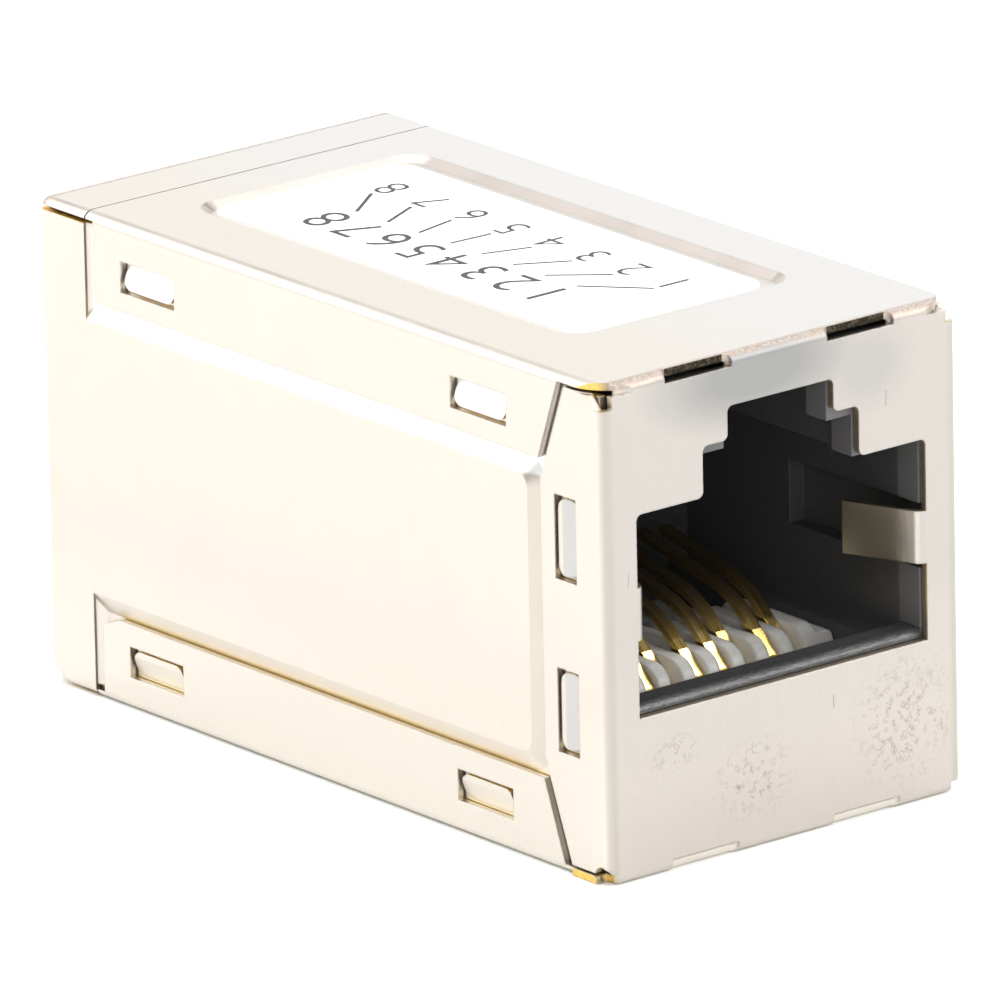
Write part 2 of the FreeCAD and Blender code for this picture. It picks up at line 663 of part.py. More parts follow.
def build_housing(name, turned):
    body = new_body(name)
    section = new_sketch(body, name + "_section", "XZ_Plane", -housing_front)
    draw_rectangle(section, -housing_half, housing_half, housing_low, housing_high, size("housing_corner"))
    pad(body, name + "_block", section, size("housing_length"), reverse=True)

    # throat with the stepped latch slot, standing behind the lip
    lip_top = size("port_floor") + size("lip_height")
    throat = new_sketch(body, name + "_throat", "XZ_Plane", -housing_front)
    draw_port(throat, size("throat_inset"), lip_top, size("throat_shelf_drop"))
    pocket(body, name + "_throat_cut", throat, size("throat_depth"))
    cavity = new_sketch(body, name + "_cavity", "XZ_Plane", -throat_end)
    cavity_half = size("port_width") / 2 - size("throat_inset")
    draw_rectangle(cavity, -cavity_half, cavity_half, size("port_floor"), latch_floor)
    pocket(body, name + "_cavity_cut", cavity, size("cavity_depth"))
    latch_room = new_sketch(body, name + "_latch_room", "XZ_Plane", -throat_end)
    latch_half = size("latch_room_width") / 2
    draw_rectangle(latch_room, -latch_half, latch_half, latch_floor - sheet, latch_top)
    pocket(body, name + "_latch_room_cut", latch_room, size("latch_room_depth"))

    # grooves that the grounding springs move into
    grooves = new_sketch(body, name + "_grooves", "XZ_Plane", -housing_front)
    half_groove = size("spring_height") / 2 + size("spring_groove_margin")
    groove_bottom = size("port_width") / 2 + size("spring_groove_depth")
    for turn in (1, -1):
        draw_rectangle(grooves, turn * (cavity_half - sheet), turn * groove_bottom,
                       port_middle - half_groove, port_middle + half_groove)
    pocket(body, name + "_groove_cut", grooves, size("spring_groove_length"))

    # bay of the contact tray, and the way of its tail to the board
    bay = new_sketch(body, name + "_bay", "XZ_Plane", -throat_end)
    draw_rectangle(bay, -bay_half, bay_half, size("bay_floor"), size("port_floor") + sheet)
    pocket(body, name + "_bay_cut", bay, size("cavity_depth"))
    tail = new_sketch(body, name + "_tail", "XZ_Plane", -throat_end)
    draw_rectangle(tail, -bay_half, bay_half, size("bay_floor"),
                   size("tray_tail_height") + size("tray_gap"))
    through = pocket(body, name + "_tail_cut", tail, size("housing_length"))

    def is_lip_edge(edge):
        at_lip = lies_at(edge, 1, housing_front) and lies_at(edge, 2, lip_top)
        return at_lip and edge.Length > size("port_width").value / 2
    fillet(body, name + "_lip", through, size("lip_round"), is_lip_edge)
    place(body, turned)
    return body


def build_tray(name, turned):
    body = new_body(name)
    half = bay_half - size("tray_gap")
    comb_end = tray_front + size("tray_comb_length")
    profile = new_sketch(body, name + "_profile", "YZ_Plane", -half)
    draw_outline(profile, [
        (tray_front, size("bay_floor")), (-board_half, size("bay_floor")),
        (-board_half, size("tray_tail_height")), (comb_end, size("tray_tail_height")),
        (comb_end, tooth_top), (tray_front, tooth_top)],
        {4: size("tooth_back_round"), 5: size("tooth_front_round")})
    pad(body, name + "_block", profile, 2 * half)
    shoulders = new_sketch(body, name + "_shoulders", "XZ_Plane", -tray_front)
    comb_half = contact_station(1) + size("end_tooth_reach")
    for turn in (1, -1):
        draw_rectangle(shoulders, turn * comb_half, turn * (half + beyond),
                       tooth_top - size("shoulder_drop"), tooth_top + beyond)
    pocket(body, name + "_shoulder_cut", shoulders, size("tray_comb_length") + sheet)
    half_slot = size("contact_width") / 2 + size("contact_slot_gap")
    for row, numbers in (("upper", (1, 3, 5, 7)), ("lower", (2, 4, 6, 8))):
        slots = new_sketch(body, name + "_" + row + "_slots", "XY_Plane", tooth_top + beyond)
        for number in numbers:
            middle = contact_station(number)
            draw_rectangle(slots, middle - half_slot, middle + half_slot, tray_front - beyond, 0.0)
        depth = tooth_top + beyond - contact_row(numbers[0]) + size("contact_thickness") / 2
        pocket(body, name + "_" + row + "_slot_cut", slots, depth)
    place(body, turned)
    return body


def build_contact(name, number, turned):
    """One formed contact: a run in the tray, a bend towards the mouth, and a spring leg back up."""
    body = new_body(name)
    level = contact_row(number)
    bend = size("contact_bend_upper") if number % 2 else size("contact_bend_lower")
    tip = face + (size("contact_tip_deep") if number in DEEP_CONTACTS else size("contact_tip_shallow"))
    rise, lay = size("contact_rise"), size("contact_lay")
    # the rising leg passes through the tip point, and the bend is tangent to it and to the run
    leg = (size("contact_tip_level") - level - bend * (1 + cosine(rise))) / sine(rise)
    bend_y = tip + bend * sine(rise) - leg * cosine(rise)
    pin_end = (size("contact_pin") - board_half, level)
    run_end = (bend_y, level)
    leg_start = (bend_y - bend * sine(rise), level + bend * (1 + cosine(rise)))
    leg_end = (tip + size("contact_rise_length") * cosine(rise),
               size("contact_tip_level") + size("contact_rise_length") * sine(rise))
    crown = size("contact_crown")
    crown_centre = (leg_end[0] + crown * sine(rise), leg_end[1] - crown * cosine(rise))
    crown_end = (crown_centre[0] - crown * sine(lay), crown_centre[1] + crown * cosine(lay))
    free_y = face + size("contact_end")
    free_end = (free_y, crown_end[1] + (free_y - crown_end[0]) * sine(lay) / cosine(lay))

    path = new_sketch(body, name + "_path", "YZ_Plane")
    run = draw_line(path, pin_end, run_end)
    leg_line = draw_line(path, leg_start, leg_end)
    free_line = draw_line(path, crown_end, free_end)
    quarter = math.pi / 2
    rise_angle, lay_angle = math.radians(rise.value), math.radians(lay.value)
    arcs = (
        (bend, (bend_y, level + bend), quarter + rise_angle, 3 * quarter, (leg_line, 1), (run, 2)),
        (crown, crown_centre, quarter + lay_angle, quarter + rise_angle, (free_line, 1), (leg_line, 2)),
    )
    for radius, centre, start_angle, end_angle, start_at, end_at in arcs:
        circle = Part.Circle(as_vector(centre), Vector(0, 0, 1), radius.value)
        arc = path.addGeometry(Part.ArcOfCircle(circle, start_angle, end_angle), False)
        path.addConstraint(Sketcher.Constraint("Coincident", arc, 1, *start_at))
        path.addConstraint(Sketcher.Constraint("Coincident", arc, 2, *end_at))
        set_size(path, Sketcher.Constraint("Radius", arc, radius.value), radius)

    section = new_sketch(body, name + "_section", "XZ_Plane", -pin_end[0])
    half_wide, half_thick = size("contact_width") / 2, size("contact_thickness") / 2
    draw_rectangle(section, -half_wide, half_wide, level - half_thick, level + half_thick)
    doc.recompute()
    wire = body.newObject("PartDesign::AdditivePipe", name + "_wire")
    wire.Profile = section
    wire.Spine = (path, [])
    place(body, turned, (-1 if turned else 1) * contact_station(number))
    return body


def build_board():
    body = new_body("circuit_board")
    outline = new_sketch(body, "BoardOutline", "XZ_Plane", -board_half)
    half = housing_half - size("board_side_gap")
    draw_rectangle(outline, -half, half, housing_low + size("board_base_gap"),
                   housing_high - size("board_top_gap"))
    pad(body, "Board", outline, size("board_thickness"))
    holes = new_sketch(body, "PinHoles", "XZ_Plane", board_half)
    half_wide = size("contact_width") / 2 + size("pin_hole_gap")
    half_high = size("contact_thickness") / 2 + size("pin_hole_gap")
    for number in range(1, CONTACT_COUNT + 1):
        middle = contact_station(number)
        for level in (size("contact_upper_row"), size("contact_lower_row")):
            draw_rectangle(holes, middle - half_wide, middle + half_wide, level - half_high,
                           level + half_high)
    pocket(body, "PinHoleCut", holes, size("board_thickness"))
    return body


def build_label():
    body = new_body("label")
    outline = new_sketch(body, "LabelOutline", "XY_Plane", recess_floor)
    middle = size("label_offset_y")
    draw_rectangle(outline, -label_half_width, label_half_width, middle - label_half_length,
                   middle + label_half_length, size("label_corner"))
    pad(body, "LabelFilm", outline, size("label_thickness"))
    return body


pieces = [build_front_shield(), build_rear_shield()]
for port_name, turned in (("front", False), ("rear", True)):
    pieces.append(build_housing(port_name + "_housing", turned))
    pieces.append(build_tray(port_name + "_contact_tray", turned))
    for number in range(1, CONTACT_COUNT + 1):
        pieces.append(build_contact("%s_contact_%d" % (port_name, number), number, turned))
pieces += [build_board(), build_label()]

doc.recompute()
for item in doc.Objects:
    if "Invalid" in item.State or "Error" in item.State:
        raise RuntimeError("%s failed: %s" % (item.Name, item.State))
for piece in pieces:
    if piece.Shape.isNull() or not piece.Shape.isValid():
        raise RuntimeError("%s has no valid shape" % piece.Label)
    if len(piece.Shape.Solids) != 1:
        raise RuntimeError("%s is not one solid" % piece.Label)
os.makedirs("parts", exist_ok=True)
for piece in pieces:
    piece.Shape.exportStep("parts/%s.step" % piece.Label)
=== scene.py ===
"""Looks of a shielded RJ45 inline coupler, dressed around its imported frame.

Nickel-plated folded sheet, black jack housings, gold contacts in pale combs, and a white label
with a wiring diagram. Lengths are millimetres until they reach Blender, which works in metres,
unless a comment says metres. Colours are linear red, green, blue and alpha.
"""

import json
import math

import bmesh
import bpy
from mathutils import Matrix, Vector


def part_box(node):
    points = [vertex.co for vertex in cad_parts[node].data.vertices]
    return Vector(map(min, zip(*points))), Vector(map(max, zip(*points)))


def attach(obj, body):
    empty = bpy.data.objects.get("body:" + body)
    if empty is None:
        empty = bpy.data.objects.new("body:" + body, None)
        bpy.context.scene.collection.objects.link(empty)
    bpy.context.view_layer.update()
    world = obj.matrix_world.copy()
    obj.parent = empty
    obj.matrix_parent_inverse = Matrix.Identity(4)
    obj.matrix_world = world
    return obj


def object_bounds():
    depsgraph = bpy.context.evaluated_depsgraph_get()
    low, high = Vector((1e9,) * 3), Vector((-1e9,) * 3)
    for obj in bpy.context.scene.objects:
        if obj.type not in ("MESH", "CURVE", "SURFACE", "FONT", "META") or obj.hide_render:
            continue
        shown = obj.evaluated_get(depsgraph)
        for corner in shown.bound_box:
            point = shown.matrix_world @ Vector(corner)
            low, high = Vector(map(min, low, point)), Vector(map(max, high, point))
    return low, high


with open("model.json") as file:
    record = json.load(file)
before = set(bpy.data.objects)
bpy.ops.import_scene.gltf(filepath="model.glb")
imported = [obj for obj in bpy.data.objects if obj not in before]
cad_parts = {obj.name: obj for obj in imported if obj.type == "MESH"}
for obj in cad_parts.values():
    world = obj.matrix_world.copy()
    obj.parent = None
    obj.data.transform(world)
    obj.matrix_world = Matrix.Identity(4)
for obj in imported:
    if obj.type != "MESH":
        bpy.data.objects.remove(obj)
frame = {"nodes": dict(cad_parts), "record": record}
MM = 0.001


def plain_box(box):
    """A pair of corners as plain lists of numbers."""
    return [[float(value) for value in corner] for corner in box]


def corners_of(box):
    """The lowest and highest corner of a box, in millimetres."""
    return [Vector(corner) / MM for corner in box]


cad_box = plain_box(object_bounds())
LOW, HIGH = corners_of(cad_box)                               # the coupler's corners


# ---------------------------------------------------------------------------------------------
# Node helpers: small words for the nodes that the materials and the wiring diagram use
# ---------------------------------------------------------------------------------------------
class Wiring:
    """Adds nodes to a tree and links them; values may be numbers, colours or sockets."""

    def __init__(self, tree):
        self.tree = tree

    def node(self, kind, inputs=None, **settings):
        """Add a node, set its properties, then feed its inputs by name or by number."""
        made = self.tree.nodes.new(kind)
        for name, value in settings.items():
            setattr(made, name, value)
        for name, value in (inputs or {}).items():
            self.feed(made.inputs[name], value)
        return made

    def feed(self, socket, value):
        """Link an input to a socket, or give the input a value of its own."""
        if isinstance(value, bpy.types.NodeSocket):
            self.tree.links.new(value, socket)
        else:
            socket.default_value = value

    def math(self, operation, first, second=0.0, third=0.0):
        return self.node("ShaderNodeMath", {0: first, 1: second, 2: third},
                         operation=operation).outputs[0]

    def chain(self, operation, values):
        """Join any number of values by one operation."""
        result = values[0]
        for value in values[1:]:
            result = self.math(operation, result, value)
        return result

    def times(self, *values):
        """The product of the values: 1 only where every mask is 1."""
        return self.chain("MULTIPLY", values)

    def either(self, *values):
        """The largest of the values: 1 where any mask is 1."""
        return self.chain("MAXIMUM", values)

    def ramp(self, value, low, high, to_low=0.0, to_high=1.0):
        """Goes from to_low to to_high while value goes from low to high, and stays there."""
        return self.node("ShaderNodeMapRange", {
            "Value": value, "From Min": low, "From Max": high,
            "To Min": to_low, "To Max": to_high}).outputs[0]

    def within(self, value, low, high, soft=0.001):
        """1 where low < value < high, with soft edges."""
        rise = self.ramp(value, low - soft, low + soft)
        fall = self.ramp(value, high - soft, high + soft, 1.0, 0.0)
        return self.math("MULTIPLY", rise, fall)

    def mix(self, share, first, second):
        """A colour between first and second."""
        return self.node("ShaderNodeMix", {0: share, 6: first, 7: second},
                         data_type="RGBA").outputs[2]

    def blend(self, share, first, second):
        """A number between first and second."""
        return self.node("ShaderNodeMix", {0: share, 2: first, 3: second},
                         data_type="FLOAT").outputs[0]

    def halfway(self, first, second):
        """The point halfway between two points."""
        return self.node("ShaderNodeMix", {0: 0.5, 4: first, 5: second},
                         data_type="VECTOR").outputs[1]

    def vector(self, operation, first, second):
        return self.node("ShaderNodeVectorMath", {0: first, 1: second},
                         operation=operation).outputs[0]

    def dot(self, first, second):
        return self.node("ShaderNodeVectorMath", {0: first, 1: second},
                         operation="DOT_PRODUCT").outputs["Value"]

    def length(self, vector):
        return self.node("ShaderNodeVectorMath", {0: vector}, operation="LENGTH").outputs["Value"]

    def split(self, vector):
        """The X, Y and Z of a vector."""
        return self.node("ShaderNodeSeparateXYZ", {0: vector}).outputs

    def join(self, x=0.0, y=0.0, z=0.0):
        """A vector from its X, Y and Z."""
        return self.node("ShaderNodeCombineXYZ", {0: x, 1: y, 2: z}).outputs[0]

    def noise(self, place, scale, detail=3.0, roughness=0.5):
        return self.node("ShaderNodeTexNoise", {
            "Vector": place, "Scale": scale, "Detail": detail,
            "Roughness": roughness}).outputs["Fac"]

    def place(self, stretch=(1.0, 1.0, 1.0)):
        """The point on the piece in millimetres, stretched along its axes."""
        source = self.node("ShaderNodeTexCoord").outputs["Object"]
        scale = [value / MM for value in stretch]
        return self.node("ShaderNodeMapping", {"Vector": source, "Scale": scale}).outputs[0]

    def facing(self):
        """How squarely the flat surface faces along X, along Y and along Z, each from 0 to 1."""
        normal = self.node("ShaderNodeNewGeometry").outputs["True Normal"]
        return [self.math("ABSOLUTE", part) for part in self.split(normal)]

    def rounded_edge(self, radius, samples=4):
        """A normal that rounds off the piece's edges."""
        return self.node("ShaderNodeBevel", {"Radius": radius * MM}, samples=samples).outputs[0]

    def bump(self, height, distance, normal=None):
        """A normal bent by a height, of which one whole unit stands distance proud."""
        inputs = {"Height": height, "Distance": distance * MM, "Strength": 1.0}
        if normal is not None:
            inputs["Normal"] = normal
        return self.node("ShaderNodeBump", inputs).outputs[0]

    def use(self, group, inputs):
        """Add a node group and return its outputs."""
        made = self.node("ShaderNodeGroup", node_tree=group)
        for name, value in inputs.items():
            self.feed(made.inputs[name], value)
        return made.outputs


def new_group(name, inputs, outputs, build):
    """A node group with named sockets; build(wiring, sockets) returns what each output gets."""
    tree = bpy.data.node_groups.new(name, "ShaderNodeTree")
    for socket_name, kind, value in inputs:
        made = tree.interface.new_socket(socket_name, in_out="INPUT", socket_type=kind)
        made.default_value = value
    for socket_name in outputs:
        tree.interface.new_socket(socket_name, in_out="OUTPUT", socket_type=NUMBER)
    wiring = Wiring(tree)
    sockets = wiring.node("NodeGroupInput").outputs
    results = build(wiring, sockets)
    end = wiring.node("NodeGroupOutput")
    for socket_name, result in zip(outputs, results):
        wiring.feed(end.inputs[socket_name], result)
    return tree


def new_material(name):
    """A material with a bare Principled shader; returns it with its wiring and shader."""
    material = bpy.data.materials.new(name)
    material.use_nodes = True
    shader = material.node_tree.nodes["Principled BSDF"]
    return material, Wiring(material.node_tree), shader


# ---------------------------------------------------------------------------------------------
# Shared effects, as node groups
# ---------------------------------------------------------------------------------------------
VECTOR, NUMBER = "NodeSocketVector", "NodeSocketFloat"


def build_patch(wiring, sockets):
    """1 in the middle of an ellipsoid that fades to 0 at its rim."""
    away = wiring.vector("SUBTRACT", sockets["Place"], sockets["Centre"])
    distance = wiring.length(wiring.vector("DIVIDE", away, sockets["Radii"]))
    return [wiring.ramp(distance, 1.0, 0.35)]


def build_scratch(wiring, sockets):
    """A thin line from one point to another."""
    along = wiring.vector("SUBTRACT", sockets["To"], sockets["From"])
    away = wiring.vector("SUBTRACT", sockets["Place"], sockets["From"])
    share = wiring.math("DIVIDE", wiring.dot(away, along), wiring.dot(along, along))
    share = wiring.node("ShaderNodeClamp", {"Value": share}).outputs[0]
    nearest = wiring.node("ShaderNodeVectorMath", {0: along, "Scale": share}, operation="SCALE")
    distance = wiring.length(wiring.vector("SUBTRACT", away, nearest.outputs[0]))
    return [wiring.ramp(distance, sockets["Width"], 0.0)]


def build_stains(wiring, sockets):
    """Dried smears: thin uneven rims around small islands, with a few dark specks."""
    islands = wiring.noise(sockets["Place"], 3.4, 1.0, 0.6)
    rim = wiring.within(islands, 0.55, 0.61, 0.035)
    speck = wiring.ramp(islands, 0.64, 0.68)
    broken = wiring.ramp(sockets["Break-up"], 0.4, 0.52)
    return [wiring.times(wiring.either(rim, speck), broken)]


def build_brushing(wiring, sockets):
    """Fine lines along Z, and the grain that breaks them."""
    stretched = wiring.vector("MULTIPLY", sockets["Place"], (9.0, 9.0, 0.35))
    lines = wiring.noise(stretched, 1.0, 1.0, 0.6)
    grain = wiring.noise(sockets["Place"], 9.0, 1.0, 0.7)
    return [lines, grain]


PLACE = ("Place", VECTOR, (0, 0, 0))
patch_mask = new_group(
    "patch_mask", [PLACE, ("Centre", VECTOR, (0, 0, 0)), ("Radii", VECTOR, (1, 1, 1))],
    ["Mask"], build_patch)
scratch_mask = new_group(
    "scratch_mask", [PLACE, ("From", VECTOR, (0, 0, 0)), ("To", VECTOR, (0, 0, 1)),
                     ("Width", NUMBER, 0.05)],
    ["Mask"], build_scratch)
stain_mask = new_group("stain_mask", [PLACE, ("Break-up", NUMBER, 0.5)], ["Mask"], build_stains)
brushing = new_group("brushing", [PLACE], ["Lines", "Grain"], build_brushing)


# ---------------------------------------------------------------------------------------------
# The shields: nickel-plated folded sheet
# ---------------------------------------------------------------------------------------------
# the lower sides are painted lighter: painted light that offsets the floor's shade there
SIDE, SIDE_LOW_PAINTED_LIGHT = (0.665, 0.608, 0.54, 1), (0.73, 0.69, 0.615, 1)
TOP_LEFT, TOP_RIGHT = (0.680, 0.625, 0.565, 1), (0.668, 0.638, 0.622, 1)
# the front face is painted darker than the sides, and darker still up high: painted shade
FACE_SHADE_LOW, FACE_SHADE_HIGH = (0.555, 0.515, 0.473, 1), (0.487, 0.457, 0.425, 1)
FACE_DULL = (0.30, 0.298, 0.292, 1)
BRUSHED, GRAINED = (0.42, 0.38, 0.33, 1), (0.5, 0.45, 0.4, 1)
BEND_TARNISH, CORNER_TARNISH = (0.45, 0.36, 0.30, 1), (0.42, 0.39, 0.33, 1)
# painted shade on the sloped walls of the label recess
SLOPE_PAINTED_SHADE = (0.53, 0.46, 0.41, 1)
DIRT = (0.30, 0.26, 0.235, 1)
CUT, CUT_PALE, CUT_SHADED = (0.90, 0.64, 0.16, 1), (0.75, 0.54, 0.18, 1), (0.30, 0.26, 0.20, 1)
CUT_AT_PORT = (0.42, 0.34, 0.25, 1)
# painted shade inside the slots of the top bend, near black and partly brown
SLOT_SHADE_DARK, SLOT_SHADE_BROWN = (0.03, 0.025, 0.018, 1), (0.10, 0.08, 0.055, 1)
SPRING_ROOT, SPRING_TIP = (0.76, 0.67, 0.52, 1), (0.95, 0.82, 0.55, 1)
STEP_SHADE = (0.545, 0.50, 0.435, 1)
# the end lances are painted grey as shade, the upper lances near white as painted light
END_LANCE_PAINTED_SHADE, TOP_LANCE_PAINTED_LIGHT = (0.50, 0.488, 0.475, 1), (0.92, 0.92, 0.91, 1)

# the rooms that the record keeps free for a plug, and the port cut-out a little outside them
plug_rooms = {room["name"]: corners_of(room["box_m"])
              for room in frame["record"]["physics"]["openings"]}
MOUTH, INSIDE, LATCH = (plug_rooms["front_port_" + name] for name in ("mouth", "inside", "latch"))
PLUG_CLEARANCE, SPRING_LIFT = 0.15, 0.41        # beside and above a plug, and below its nose
PORT_FLOOR, PORT_TOP = MOUTH[0].z - SPRING_LIFT, LATCH[1].z + PLUG_CLEARANCE
PORT_HALF = INSIDE[1].x + PLUG_CLEARANCE
SPRING_FOOT = MOUTH[0].z + 0.05                 # the springs in the port start above this

FACE, WALL = HIGH.y, HIGH.x                     # how far the faces and the side walls lie out
FLAP_END = corners_of(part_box("front_shield"))[1].y            # where the front shield ends
BEND_SLOT = (1.95, 4.71)                        # where the slots in the bends lie in X
FRONT_CUT = (WALL - 0.3, WALL - 0.19)           # where raw metal shows on the side edges, in X
REAR_CUT = (WALL - 0.6, WALL + 0.1)
SIDE_CUT = (LOW.z + 0.02, HIGH.z - 0.2)         # and from where to where they reach in Z
CORNER_CUT = (WALL - 1.1, WALL - 0.7)           # raw metal pales to the right between these X
STEP_END, LANCE_END = FLAP_END - 0.9, FLAP_END - 0.1          # of wall steps and upper lances
LANCE_LEVEL = HIGH.z - 3.7                      # the upper lances lie above this
FAR_END = 2.15 - FACE                           # beyond this lie the lances at the other face

# on the front face: dull spots (centre X and Z, radii, share), dried smears (centre, radii)
# and scratches (from, to, width)
DULL_SPOTS = [((-1.0, 15.8), (5.0, 2.1), 1.0), ((3.6, 15.0), (2.2, 1.8), 0.35)]
SMEARS = [((4.9, 2.9), (2.5, 2.7)), ((-1.4, 2.4), (2.0, 1.6)), ((-4.6, 3.9), (1.3, 0.7))]
SCRATCHES = [((4.35, 14.0), (4.32, 13.5), 0.04), ((2.0, 4.35), (2.0, 3.95), 0.04),
             ((6.45, 2.6), (6.5, 2.2), 0.03), ((-6.3, 10.2), (-6.33, 9.8), 0.03)]
SMEAR_SHARE, WEAR_SHARE = 0.75, 0.85            # how strongly smears show, and wear as a whole
WORN_ROUGHNESS, SPRING_ROUGHNESS = 0.5, 0.22
PLATE_EDGE, PLATE_RELIEF = 0.09, 0.0026         # radius of the edges, height of the brushing


class Sheet:
    """Where a point lies on a shield, and the patterns that run over the whole sheet."""

    def __init__(self, wiring, front):
        self.wiring, self.front = wiring, front
        self.place = wiring.place()
        self.x, y, self.z = wiring.split(self.place)
        self.across, self.along, self.upward = wiring.facing()
        self.out = wiring.math("ABSOLUTE", self.x)                # away from the middle plane
        self.end = wiring.math("MULTIPLY", y, -1.0 if front else 1.0)    # towards its own face
        self.on_face = wiring.times(wiring.ramp(self.end, FACE - 0.2, FACE - 0.05),
                                    wiring.ramp(self.along, 0.4, 0.8))
        strokes = wiring.use(brushing, {"Place": self.place})
        self.lines, self.grain = strokes["Lines"], strokes["Grain"]
        self.cloud = wiring.noise(self.place, 0.5, 1.0)

    def near_top(self, depth, soft):
        """1 above a level that lies depth below the top."""
        return self.wiring.ramp(self.z, HIGH.z - depth, HIGH.z - depth + soft)

    def behind(self, depth, soft):
        """1 further in than depth behind the shield's own face."""
        return self.wiring.ramp(self.end, FACE - depth, FACE - depth - soft)

    def edge_on(self, facing):
        """1 on a cut edge, whose surface doesn't face along the plate's own axis at all."""
        return self.wiring.ramp(facing, 0.09, 0.05)


def plated_colour(sheet):
    """Nickel: warm sides painted lighter low down, a top cooling to the right, a face in painted
    shade, brushed lines.
    """
    wiring = sheet.wiring
    drift = wiring.math("MULTIPLY_ADD", sheet.cloud, 3.0, sheet.x)
    top = wiring.mix(wiring.ramp(drift, -2.5, 3.5), TOP_LEFT, TOP_RIGHT)
    # painted light: the sides turn lighter towards the bottom
    side = wiring.mix(wiring.ramp(sheet.z, 6.0, 1.0), SIDE, SIDE_LOW_PAINTED_LIGHT)
    # painted shade: the face is darker than the sides, and darker towards its top
    face = wiring.mix(wiring.ramp(sheet.z, 3.0, 8.0), FACE_SHADE_LOW, FACE_SHADE_HIGH)
    colour = wiring.mix(sheet.near_top(0.5, 0.4), side, top)
    colour = wiring.mix(sheet.on_face, colour, face)
    line_share = wiring.blend(sheet.on_face, 0.02, 0.08)
    line_share = wiring.times(wiring.ramp(sheet.lines, 0.5, 0.75), line_share)
    colour = wiring.mix(line_share, colour, BRUSHED)
    return wiring.mix(wiring.ramp(sheet.grain, 0.62, 0.75, 0.0, 0.12), colour, GRAINED)


def tarnished(sheet, colour):
    """Tarnish along the bends, and painted shade on the slopes of the label recess; returns the
    top bend too.
    """
    wiring = sheet.wiring
    bend = wiring.times(wiring.ramp(sheet.end, FACE - 0.5, FACE - 0.3), sheet.near_top(0.32, 0.12))
    share = wiring.times(bend, wiring.ramp(sheet.grain, 0.3, 0.6, 0.35, 1.0))
    colour = wiring.mix(share, colour, BEND_TARNISH)
    corner = wiring.times(wiring.ramp(sheet.end, FACE - 0.25, FACE - 0.1),
                          wiring.ramp(sheet.out, WALL - 0.5, WALL - 0.3, 0.0, 0.5))
    colour = wiring.mix(corner, colour, CORNER_TARNISH)
    # painted shade on the sloped walls of the label recess
    slope = wiring.times(sheet.near_top(0.35, 0.05),
                         wiring.ramp(sheet.upward, 0.995, 0.97, 0.0, 0.6),
                         wiring.ramp(sheet.out, WALL - 1.1, WALL - 1.3),
                         sheet.behind(2.0, 1.0))
    return wiring.mix(slope, colour, SLOPE_PAINTED_SHADE), bend


def on_front(spot):
    """A place on the front face from its X and Z."""
    return (spot[0], -FACE, spot[1])


def front_patch(sheet, centre, radii):
    """The mask of one patch on the front face, its centre and radii given in X and Z."""
    return sheet.wiring.use(patch_mask, {"Place": sheet.place, "Centre": on_front(centre),
                                         "Radii": (radii[0], 1.0, radii[1])})["Mask"]


def front_face_wear(sheet, colour):
    """Dull spots, dried smears and scratches; returns the colour and where it is worn."""
    wiring = sheet.wiring
    dull = [wiring.math("MULTIPLY", front_patch(sheet, centre, radii), share)
            for centre, radii, share in DULL_SPOTS]
    colour = wiring.mix(wiring.times(sheet.on_face, wiring.either(*dull)), colour, FACE_DULL)
    stains = wiring.use(stain_mask, {"Place": sheet.place, "Break-up": sheet.grain})["Mask"]
    smears = wiring.times(stains, wiring.either(*(front_patch(sheet, *spot) for spot in SMEARS)))
    marks = [wiring.use(scratch_mask, {"Place": sheet.place, "From": on_front(start),
                                       "To": on_front(stop), "Width": width})["Mask"]
             for start, stop, width in SCRATCHES]
    worn = wiring.either(wiring.math("MULTIPLY", smears, SMEAR_SHARE), *marks)
    return wiring.mix(wiring.math("MULTIPLY", worn, WEAR_SHARE), colour, DIRT), worn


def port_spring(sheet, colour):
    """The grounding springs in the port, brighter towards their tips; returns their mask too."""
    wiring = sheet.wiring
    spring = wiring.times(wiring.ramp(sheet.out, WALL - 0.4, WALL - 0.45),
                          sheet.behind(0.32, 0.6), wiring.within(sheet.z, SPRING_FOOT, PORT_TOP))
    shade = wiring.mix(sheet.behind(1.75, 1.7), SPRING_ROOT, SPRING_TIP)
    return wiring.mix(spring, colour, shade), spring


def rear_shield_shades(sheet, colour):
    """Shade on the steps of the side walls, end lances painted grey as shade, upper lances painted
    bright as light.
    """
    wiring = sheet.wiring
    step = wiring.times(wiring.within(sheet.along, 0.25, 0.9, 0.1),
                        wiring.ramp(sheet.end, STEP_END, STEP_END - 0.1, 0.0, 0.8))
    colour = wiring.mix(step, colour, STEP_SHADE)
    # painted shade: the rear shield's end lances, near the other face, turn grey
    colour = wiring.mix(wiring.ramp(sheet.end, FAR_END, FAR_END - 0.1), colour, END_LANCE_PAINTED_SHADE)
    # painted light: the upper lances turn near white
    lance = wiring.times(wiring.ramp(sheet.z, LANCE_LEVEL, LANCE_LEVEL + 0.1),
                         wiring.ramp(sheet.z, HIGH.z - 0.5, HIGH.z - 0.6),
                         wiring.ramp(sheet.end, LANCE_END, LANCE_END - 0.1))
    return wiring.mix(lance, colour, TOP_LANCE_PAINTED_LIGHT)


